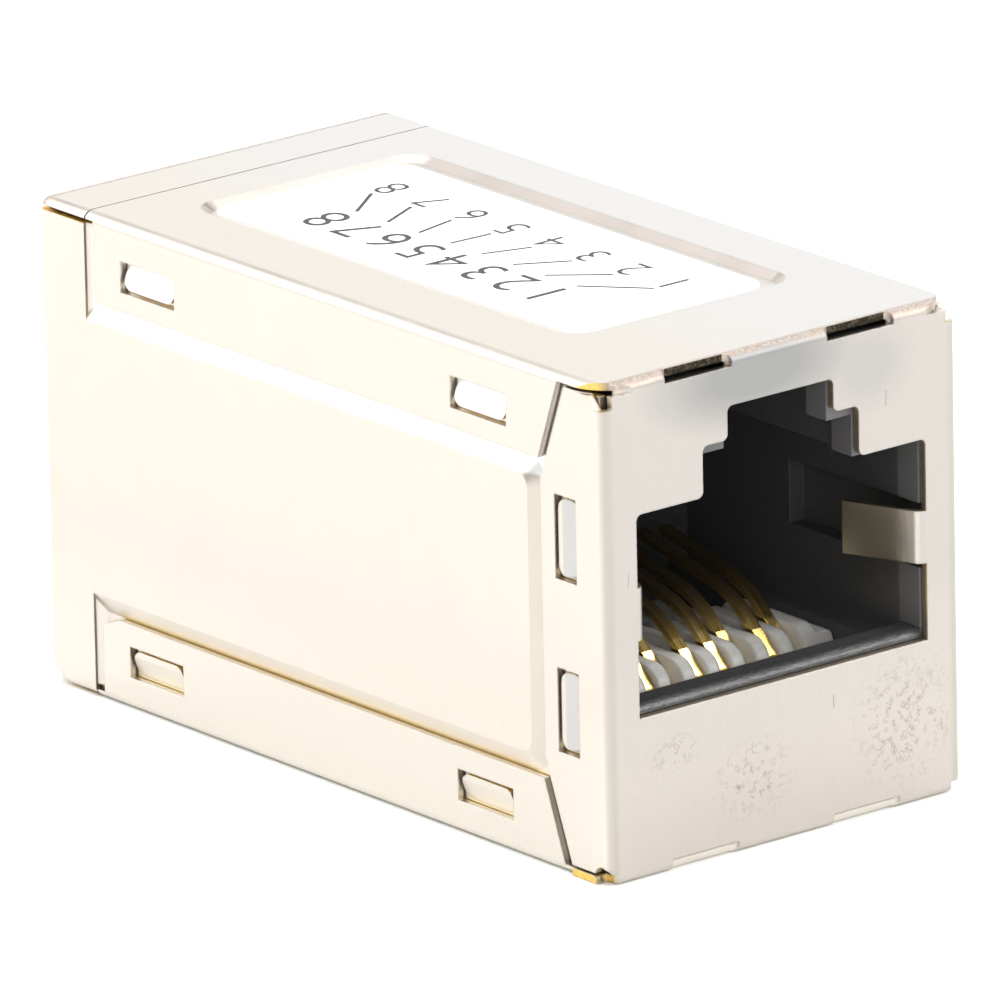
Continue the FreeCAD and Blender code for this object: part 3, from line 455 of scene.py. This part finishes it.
def cut_edges(sheet, colour):
    """Raw metal on the inner half of each cut edge; returns the colour and the edges' mask."""
    wiring = sheet.wiring
    bare = FRONT_CUT if sheet.front else REAR_CUT
    side = wiring.times(wiring.within(sheet.out, *bare, 0.03),
                        wiring.within(sheet.z, *SIDE_CUT), sheet.edge_on(sheet.across),
                        sheet.behind(0.02, 0.04))
    port = wiring.times(wiring.within(sheet.end, FACE - 0.3, FACE - 0.08, 0.04),
                        sheet.edge_on(sheet.along),
                        wiring.ramp(sheet.out, PORT_HALF + 0.25, PORT_HALF + 0.2),
                        wiring.within(sheet.z, PORT_FLOOR - 0.1, PORT_TOP + 0.1))
    plates = wiring.either(sheet.near_top(0.3, 0.04), wiring.ramp(sheet.z, 0.28, 0.24))
    plate = wiring.times(plates, sheet.edge_on(sheet.upward), sheet.behind(0.28, 0.04))
    cut = wiring.times(wiring.either(side, port, plate),
                       wiring.ramp(sheet.x, *CORNER_CUT, 1.0, 0.4))
    raw = wiring.mix(wiring.ramp(sheet.grain, 0.35, 0.65), CUT, CUT_PALE)
    raw = wiring.mix(wiring.ramp(sheet.along, 0.6, 0.8), raw, CUT_SHADED)
    raw = wiring.mix(port, raw, CUT_AT_PORT)
    return wiring.mix(cut, colour, raw), cut


def bend_slots(sheet, colour):
    """Insides of the slots in the top bend, painted dark and partly brown as painted shade."""
    wiring = sheet.wiring
    inside = wiring.either(wiring.ramp(sheet.along, 0.95, 0.99),
                           wiring.ramp(sheet.z, HIGH.z - 0.36, HIGH.z - 0.37))
    slot = wiring.times(wiring.within(sheet.out, *BEND_SLOT),
                        wiring.within(sheet.end, FACE - 0.4, FACE - 0.05, 0.04),
                        sheet.near_top(0.4, 0.03), inside)
    # painted shade: near black, partly brown with the grain
    shade = wiring.mix(wiring.ramp(sheet.grain, 0.45, 0.65), SLOT_SHADE_DARK, SLOT_SHADE_BROWN)
    return wiring.mix(slot, colour, shade)


def sheet_metal(name, front):
    """Nickel-plated folded sheet; front tells the front shield from the rear one."""
    material, wiring, shader = new_material(name)
    sheet = Sheet(wiring, front)
    colour, bend = tarnished(sheet, plated_colour(sheet))
    worn, spring = 0.0, None
    if front:
        colour, worn = front_face_wear(sheet, colour)
        colour, spring = port_spring(sheet, colour)
    else:
        colour = rear_shield_shades(sheet, colour)
    colour, cut = cut_edges(sheet, colour)
    wiring.feed(shader.inputs["Base Color"], bend_slots(sheet, colour))
    shader.inputs["Metallic"].default_value = 1.0

    rough = wiring.blend(sheet.on_face, wiring.ramp(sheet.cloud, 0.3, 0.7, 0.32, 0.37),
                         wiring.ramp(sheet.grain, 0.3, 0.7, 0.36, 0.44))
    rough = wiring.blend(wiring.either(cut, worn, bend), rough, WORN_ROUGHNESS)
    relief = wiring.math("MULTIPLY_ADD", sheet.lines, wiring.blend(sheet.on_face, 0.1, 0.4),
                         sheet.grain)
    if front:                                   # the springs are smoother than the plate
        rough = wiring.blend(spring, rough, SPRING_ROUGHNESS)
        relief = wiring.math("MULTIPLY", relief, wiring.blend(spring, 1.0, 0.2))
    wiring.feed(shader.inputs["Roughness"], rough)
    edge = wiring.rounded_edge(PLATE_EDGE, samples=2)
    wiring.feed(shader.inputs["Normal"], wiring.bump(relief, PLATE_RELIEF, edge))
    return material


# ---------------------------------------------------------------------------------------------
# The other pieces' materials
# ---------------------------------------------------------------------------------------------
BLACK, BLACK_WORN = (0.040, 0.040, 0.041, 1), (0.055, 0.055, 0.056, 1)
# the throat's grey is painted light; the lip's lighter grey is wear and partly a painted highlight
THROAT_PAINTED_LIGHT, LIP_WEAR_AND_SHEEN = (0.12, 0.116, 0.114, 1), (0.065, 0.064, 0.064, 1)
# the comb's end colour is painted shade
MILKY, MILKY_PALE, COMB_END_PAINTED_SHADE = (0.62, 0.61, 0.58, 1), (0.74, 0.735, 0.70, 1), (0.42, 0.41, 0.385, 1)
# the dull gold is painted shade up the contacts' legs
GOLD, GOLD_PALE, GOLD_PAINTED_SHADE = (0.86, 0.58, 0.14, 1), (0.95, 0.70, 0.28, 1), (0.40, 0.29, 0.16, 1)
GREEN_DARK, GREEN = (0.02, 0.10, 0.045, 1), (0.03, 0.14, 0.06, 1)
FILM, FILM_PALE, DARKER_RIM = (0.93, 0.93, 0.925, 1), (0.96, 0.96, 0.955, 1), (0.8, 0.77, 0.73, 1)
INK, INK_THIN = (0.02, 0.02, 0.022, 1), (0.06, 0.06, 0.064, 1)

HOUSING_FACE = -corners_of(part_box("front_housing"))[0].y
COMB_TOP = corners_of(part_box("front_contact_tray"))[1].z
LIP = (HOUSING_FACE - 0.5, HOUSING_FACE - 0.3)  # lip and throat lie beyond these along Y
THROAT = (HOUSING_FACE - 1.05, HOUSING_FACE - 0.95)
LIP_HEIGHT, THROAT_FOOT = 0.4, PORT_FLOOR + 0.36              # the throat starts above its foot
LIP_ROUGHNESS, DULL_GOLD_ROUGHNESS = 0.26, 0.4
LIP_SCORES = 0.03                               # how deep plugs have scored the lip
PRESSED, PRESSED_HEIGHT = (COMB_TOP - 0.61, COMB_TOP + 0.09), 0.34   # the contacts' bends, in Z
# the gold's colour darkens upwards here as painted shade; its roughness rises too
BRIGHT_GOLD = (COMB_TOP + 0.09, COMB_TOP + 1.29)              # gold dulls upwards between these
DARKER_RIM_SIDES, DARKER_RIM_ENDS = (-0.125, 0.005), (-0.15, 0.02)    # from the label's own edges


def housing_plastic(name):
    """Black moulded plastic, painted lighter in the throat as painted light, and rubbed where a
    plug runs over the lip, the rub's lighter grey partly a painted highlight.
    """
    material, wiring, shader = new_material(name)
    place = wiring.place()
    _, y, z = wiring.split(place)
    end = wiring.math("ABSOLUTE", y)
    grain = wiring.noise(place, 9.0, 4.0, 0.6)
    streaks = wiring.noise(wiring.place((5.0, 9.0, 9.0)), 1.0, 2.0, 0.65)
    lip = wiring.times(wiring.ramp(end, *LIP),
                       wiring.within(z, PORT_FLOOR, PORT_FLOOR + LIP_HEIGHT, 0.05))
    throat = wiring.times(wiring.ramp(end, *THROAT), wiring.within(z, THROAT_FOOT, PORT_TOP))
    colour = wiring.mix(wiring.ramp(grain, 0.35, 0.65), BLACK, BLACK_WORN)
    # painted light: the throat is greyer near the mouth
    colour = wiring.mix(wiring.math("MULTIPLY", throat, 0.7), colour, THROAT_PAINTED_LIGHT)
    # the rubbed lip is lighter grey: wear, and partly a painted highlight
    rub_and_sheen = wiring.times(lip, wiring.ramp(streaks, 0.4, 0.62))
    wiring.feed(shader.inputs["Base Color"], wiring.mix(rub_and_sheen, colour, LIP_WEAR_AND_SHEEN))
    rough = wiring.blend(lip, wiring.ramp(grain, 0.3, 0.7, 0.34, 0.46), LIP_ROUGHNESS)
    wiring.feed(shader.inputs["Roughness"], rough)
    edge = wiring.rounded_edge(0.07)
    scored = wiring.bump(wiring.times(streaks, lip), LIP_SCORES, edge)
    wiring.feed(shader.inputs["Normal"], wiring.bump(grain, 0.004, scored))
    return material


def tray_plastic(name):
    """Milky plastic that lets some light through, with painted shade darkening the ends of the
    comb.
    """
    material, wiring, shader = new_material(name)
    place = wiring.place()
    cloud = wiring.noise(place, 1.2, 1.0)
    grain = wiring.noise(place, 10.0, 1.0)
    _, along, _ = wiring.facing()
    colour = wiring.mix(wiring.ramp(cloud, 0.3, 0.7), MILKY, MILKY_PALE)
    # painted shade: faces that face along the port are darker
    colour = wiring.mix(wiring.ramp(along, 0.2, 0.8), colour, COMB_END_PAINTED_SHADE)
    wiring.feed(shader.inputs["Base Color"], colour)
    shader.inputs["Subsurface Weight"].default_value = 0.35
    shader.inputs["Subsurface Radius"].default_value = (1.0, 0.9, 0.8)
    shader.inputs["Subsurface Scale"].default_value = 0.4 * MM
    wiring.feed(shader.inputs["Roughness"], wiring.ramp(grain, 0.3, 0.7, 0.3, 0.42))
    wiring.feed(shader.inputs["Normal"], wiring.bump(grain, 0.004, wiring.rounded_edge(0.2)))
    return material


def contact_gold(name):
    """Gold plate, bright at the bends near the mouth; up the leg rougher and darker, the darkening
    painted shade.
    """
    material, wiring, shader = new_material(name)
    z = wiring.split(wiring.place())[2]
    drawn = wiring.noise(wiring.place((8.0, 0.6, 0.6)), 1.0, 3.0)
    # the gold darkens upwards as painted shade, and grows rougher
    dull = wiring.ramp(z, *BRIGHT_GOLD)
    colour = wiring.mix(wiring.ramp(drawn, 0.35, 0.65), GOLD, GOLD_PALE)
    wiring.feed(shader.inputs["Base Color"], wiring.mix(dull, colour, GOLD_PAINTED_SHADE))
    shader.inputs["Metallic"].default_value = 1.0
    rough = wiring.blend(dull, wiring.ramp(drawn, 0.3, 0.7, 0.22, 0.34), DULL_GOLD_ROUGHNESS)
    wiring.feed(shader.inputs["Roughness"], rough)
    edge = wiring.rounded_edge(0.08)
    pressed_bend = wiring.bump(wiring.ramp(z, *PRESSED), PRESSED_HEIGHT, edge)
    wiring.feed(shader.inputs["Normal"], wiring.bump(drawn, 0.003, pressed_bend))
    return material


def board_laminate(name):
    """Green solder mask over woven glass."""
    material, wiring, shader = new_material(name)
    place = wiring.place()
    weave = wiring.node("ShaderNodeTexWave", {"Vector": place, "Scale": 1.6,
                                              "Distortion": 0.6}).outputs["Fac"]
    wiring.feed(shader.inputs["Base Color"], wiring.mix(weave, GREEN_DARK, GREEN))
    gloss = wiring.ramp(wiring.noise(place, 6.0), 0.3, 0.7, 0.28, 0.4)
    wiring.feed(shader.inputs["Roughness"], gloss)
    wiring.feed(shader.inputs["Normal"], wiring.bump(weave, 0.006))
    return material


def label_film(name):
    """Matte white film with a faint fibre and a slightly darker rim."""
    material, wiring, shader = new_material(name)
    place = wiring.place()
    x, y, _ = wiring.split(place)
    fibre = wiring.noise(place, 12.0, 5.0, 0.6)
    low, high = corners_of(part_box("label"))
    middle, half = (low + high) / 2, (high - low) / 2
    from_middle = wiring.math("ABSOLUTE", wiring.math("SUBTRACT", y, middle.y))
    rim = wiring.either(
        wiring.ramp(wiring.math("ABSOLUTE", x), *(half.x + step for step in DARKER_RIM_SIDES)),
        wiring.ramp(from_middle, *(half.y + step for step in DARKER_RIM_ENDS)))
    colour = wiring.mix(wiring.ramp(fibre, 0.3, 0.7), FILM, FILM_PALE)
    colour = wiring.mix(wiring.math("MULTIPLY", rim, 0.5), colour, DARKER_RIM)
    wiring.feed(shader.inputs["Base Color"], colour)
    wiring.feed(shader.inputs["Roughness"], wiring.ramp(fibre, 0.3, 0.7, 0.48, 0.6))
    wiring.feed(shader.inputs["Normal"], wiring.bump(fibre, 0.0012))
    return material


def printed_ink(name):
    """Dark grey ink, a little uneven."""
    material, wiring, shader = new_material(name)
    cover = wiring.noise(wiring.place(), 7.0, 4.0)
    colour = wiring.mix(wiring.ramp(cover, 0.3, 0.7), INK, INK_THIN)
    wiring.feed(shader.inputs["Base Color"], colour)
    wiring.feed(shader.inputs["Roughness"], wiring.ramp(cover, 0.3, 0.7, 0.5, 0.65))
    return material


finishes = {
    "housing_plastic": housing_plastic("housing_plastic"),
    "tray_plastic": tray_plastic("tray_plastic"),
    "gold_contact": contact_gold("gold_contact"),
    "board_laminate": board_laminate("board_laminate"),
    "label_film": label_film("label_film"),
}
shields = {"front_shield": sheet_metal("nickel_sheet_front", True),
           "rear_shield": sheet_metal("nickel_sheet_rear", False)}
for entry in frame["record"]["subparts"]:
    piece = frame["nodes"][entry["node"]]
    piece.data.materials.clear()
    piece.data.materials.append(shields.get(entry["node"]) or finishes[entry["material_slot"]])


# ---------------------------------------------------------------------------------------------
# Wiring diagram on the label: pin numbers at both ends, joined straight through
# ---------------------------------------------------------------------------------------------
PIN_COUNT = 8
PRINT_LIFT = 0.006                              # how far the print lies above the film
WIRE_STROKE = 0.13
# each row: its middle from the label's middle in X and Y, how tall the numbers are and how much
# bolder, the pitch, and how far from the row's middle the wires end in X
PIN_ROWS = [
    {"x": -1.75, "y": 0.3, "height": 2.4, "bolder": -0.007, "pitch": 1.6, "wire_end": 1.15},
    {"x": 1.95, "y": 0.0, "height": 1.8, "bolder": -0.008, "pitch": 2.05, "wire_end": -0.9},
]


def add_flat_mesh(into, mesh, move):
    """Add the faces of a mesh to into, moved by a matrix."""
    mesh.transform(move)
    into.from_mesh(mesh)
    bpy.data.meshes.remove(mesh)


def evaluated_mesh(holder):
    """The shape of an object with its text or modifiers worked out, as a plain mesh."""
    bpy.context.scene.collection.objects.link(holder)
    graph = bpy.context.evaluated_depsgraph_get()
    return bpy.data.meshes.new_from_object(holder.evaluated_get(graph))


def number_mesh(number, height, bolder):
    """The outline of one pin number, filled, lying flat and centred on its own origin."""
    curve = bpy.data.curves.new("pin_number", "FONT")
    curve.body = str(number)
    curve.size = height
    curve.offset = bolder * height
    curve.align_x, curve.align_y = "CENTER", "CENTER"
    curve.resolution_u = 6
    holder = bpy.data.objects.new("pin_number", curve)
    mesh = evaluated_mesh(holder)
    bpy.data.objects.remove(holder)
    bpy.data.curves.remove(curve)
    return mesh


def build_wire_tree():
    """Geometry nodes that join two rows of evenly spaced pins by one flat line for each pin."""
    tree = bpy.data.node_groups.new("pin_wires", "GeometryNodeTree")
    for name, kind in (("First Row", VECTOR), ("First Pitch", NUMBER), ("Second Row", VECTOR),
                       ("Second Pitch", NUMBER), ("Stroke", NUMBER), ("Pins", "NodeSocketInt"),
                       ("Ink", "NodeSocketMaterial")):
        tree.interface.new_socket(name, in_out="INPUT", socket_type=kind)
    tree.interface.new_socket("Wires", in_out="OUTPUT", socket_type="NodeSocketGeometry")
    wiring = Wiring(tree)
    sockets = wiring.node("NodeGroupInput").outputs

    # how many pins each pin lies from the middle of its row, and where its wire starts and stops
    half_row = wiring.math("MULTIPLY", wiring.math("SUBTRACT", sockets["Pins"], 1.0), 0.5)
    rank = wiring.math("SUBTRACT", wiring.node("GeometryNodeInputIndex").outputs[0], half_row)
    start, stop = (
        wiring.vector("ADD", sockets[row + " Row"],
                      wiring.join(y=wiring.math("MULTIPLY", rank, sockets[row + " Pitch"])))
        for row in ("First", "Second"))
    run = wiring.vector("SUBTRACT", stop, start)
    size = wiring.join(wiring.length(run), sockets["Stroke"], 1.0)
    turn = wiring.node("FunctionNodeAlignRotationToVector", {"Vector": run},
                       axis="X", pivot_axis="Z").outputs[0]

    pins = wiring.node("GeometryNodePoints", {"Count": sockets["Pins"],
                                              "Position": wiring.halfway(start, stop)})
    strip = wiring.node("GeometryNodeMeshGrid", {"Size X": 1.0, "Size Y": 1.0,
                                                 "Vertices X": 2, "Vertices Y": 2})
    wires = wiring.node("GeometryNodeInstanceOnPoints", {
        "Points": pins.outputs[0], "Instance": strip.outputs["Mesh"], "Rotation": turn,
        "Scale": size})
    wires = wiring.node("GeometryNodeRealizeInstances", {"Geometry": wires.outputs[0]})
    wires = wiring.node("GeometryNodeSetMaterial", {"Geometry": wires.outputs[0],
                                                    "Material": sockets["Ink"]})
    wiring.feed(wiring.node("NodeGroupOutput").inputs["Wires"], wires.outputs[0])
    return tree


def wire_mesh(values):
    """The lines that the wire tree draws from its named values."""
    tree = build_wire_tree()
    blank = bpy.data.meshes.new("pin_wires")
    holder = bpy.data.objects.new("pin_wires", blank)
    modifier = holder.modifiers.new("pin_wires", "NODES")
    modifier.node_group = tree
    for socket in tree.interface.items_tree:
        if socket.in_out == "INPUT":
            modifier[socket.identifier] = values[socket.name]
    mesh = evaluated_mesh(holder)
    holder.modifiers.remove(modifier)
    bpy.data.objects.remove(holder)
    bpy.data.meshes.remove(blank)
    return mesh


def build_label_print():
    """Two rows of pin numbers that read along the label, each number joined to its twin."""
    low, high = corners_of(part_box("label"))
    middle = (low + high) / 2
    middle.z = high.z + PRINT_LIFT
    ink = printed_ink("printed_ink")
    drawing = bmesh.new()
    quarter = Matrix.Rotation(math.radians(90), 4, "Z")
    wires = {"Stroke": WIRE_STROKE, "Pins": PIN_COUNT, "Ink": ink}
    for name, row in zip(("First", "Second"), PIN_ROWS):
        row_middle = middle + Vector((row["x"], row["y"], 0))
        for pin in range(1, PIN_COUNT + 1):
            shift = Vector((0, (pin - (PIN_COUNT + 1) / 2) * row["pitch"], 0))
            add_flat_mesh(drawing, number_mesh(pin, row["height"], row["bolder"]),
                          Matrix.Translation(row_middle + shift) @ quarter)
        wires[name + " Row"] = row_middle + Vector((row["wire_end"], 0, 0))
        wires[name + " Pitch"] = row["pitch"]
    add_flat_mesh(drawing, wire_mesh(wires), Matrix.Identity(4))
    bmesh.ops.scale(drawing, vec=(MM, MM, MM), verts=drawing.verts)
    mesh = bpy.data.meshes.new("label_print")
    drawing.to_mesh(mesh)
    drawing.free()
    mesh.materials.append(ink)
    prints = bpy.data.objects.new("label_print", mesh)
    bpy.context.scene.collection.objects.link(prints)
    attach(prints, "root")


build_label_print()


# ---------------------------------------------------------------------------------------------
# Stage: pale floor, soft light, camera
# ---------------------------------------------------------------------------------------------
WHITE, SKY_TINT = (1.0, 1.0, 1.0), (0.95, 0.98, 0.98)
FLOOR_HALF = 3.0                                # metres
FLOOR_GAP = 0.02                                # so that floor and bottom plate don't coincide
FLOOR_PALE = (0.93, 0.93, 0.93, 1)
WORLD_STRENGTH = 0.2

# soft lamps: name, place, aim, width and height in metres, radiance, colour
SOFTBOXES = [
    ("overhead", (0.0, 0.0, 0.7), (0, 0, 0), 1.4, 1.4, 1.92, WHITE),
    ("back_right", (0.5, 0.62, 0.2), (0, 0, 0), 1.0, 0.5, 1.2, SKY_TINT),
    ("back_left", (-0.52, 0.72, 0.42), (0, 0, 0), 1.1, 0.7, 2.1, WHITE),
    ("front_right", (0.36, -0.40, 0.28), (0, 0, 0.008), 0.3, 0.25, 8.0, WHITE),
    ("front_fill", (-0.5, -0.8, 0.42), (0, 0, 0.008), 0.8, 0.7, 2.4, WHITE),
]

CAMERA_ANGLES = (-38.784, 17.601, -1.159)       # azimuth, elevation and roll in degrees
CAMERA_DISTANCE, CAMERA_LENS, SENSOR = 592.4, 662.6, 36.0
CAMERA_RIGHT, CAMERA_UP = 0.096, -0.30          # how far the camera aims past the middle
CAMERA_CLIP = (0.01, 20.0)                      # metres


def build_floor():
    mesh = bpy.data.meshes.new("floor")
    level = (LOW.z - FLOOR_GAP) * MM
    corners = [(x, y, level) for x, y in ((-FLOOR_HALF, -FLOOR_HALF), (FLOOR_HALF, -FLOOR_HALF),
                                          (FLOOR_HALF, FLOOR_HALF), (-FLOOR_HALF, FLOOR_HALF))]
    mesh.from_pydata(corners, [], [(0, 1, 2, 3)])
    floor = bpy.data.objects.new("floor", mesh)
    bpy.context.scene.collection.objects.link(floor)
    material, _, shader = new_material("floor_paper")
    shader.inputs["Base Color"].default_value = FLOOR_PALE
    shader.inputs["Roughness"].default_value = 0.8
    shader.inputs["Specular IOR Level"].default_value = 0.2
    mesh.materials.append(material)


def build_world():
    world = bpy.data.worlds.new("studio")
    bpy.context.scene.world = world
    world.use_nodes = True
    background = world.node_tree.nodes["Background"]
    background.inputs["Color"].default_value = (*WHITE, 1)
    background.inputs["Strength"].default_value = WORLD_STRENGTH


def add_softbox(name, place, target, width, height, radiance, colour):
    """A flat soft lamp, as bright to look at as a white surface of the given radiance."""
    light = bpy.data.lights.new(name, "AREA")
    light.shape = "RECTANGLE"
    light.size, light.size_y = width, height
    light.energy = radiance * math.pi * width * height
    light.color = colour
    lamp = bpy.data.objects.new(name, light)
    bpy.context.scene.collection.objects.link(lamp)
    lamp.location = place
    aim = Vector(target) - Vector(place)
    lamp.rotation_euler = aim.to_track_quat("-Z", "Y").to_euler()


def build_camera():
    """A long lens that looks down on the front port and the left side."""
    azimuth, elevation, roll = (math.radians(angle) for angle in CAMERA_ANGLES)
    level = math.cos(elevation)
    outward = Vector((math.sin(azimuth) * level, -math.cos(azimuth) * level, math.sin(elevation)))
    right = Vector((math.cos(azimuth), math.sin(azimuth), 0.0))
    turn = Matrix.Rotation(roll, 3, outward)
    right, up = turn @ right, turn @ outward.cross(right)
    middle = Vector((0.0, 0.0, HIGH.z / 2))
    spot = middle + outward * CAMERA_DISTANCE + right * CAMERA_RIGHT + up * CAMERA_UP
    camera = bpy.data.cameras.new("camera")
    camera.lens, camera.sensor_width = CAMERA_LENS, SENSOR
    camera.clip_start, camera.clip_end = CAMERA_CLIP
    stand = bpy.data.objects.new("camera", camera)
    axes = Matrix((right, up, outward)).transposed().to_4x4()
    stand.matrix_world = Matrix.Translation(spot * MM) @ axes
    bpy.context.scene.collection.objects.link(stand)
    bpy.context.scene.camera = stand


build_floor()
build_world()
for softbox in SOFTBOXES:
    add_softbox(*softbox)
build_camera()
bpy.context.scene.view_settings.view_transform = "Standard"
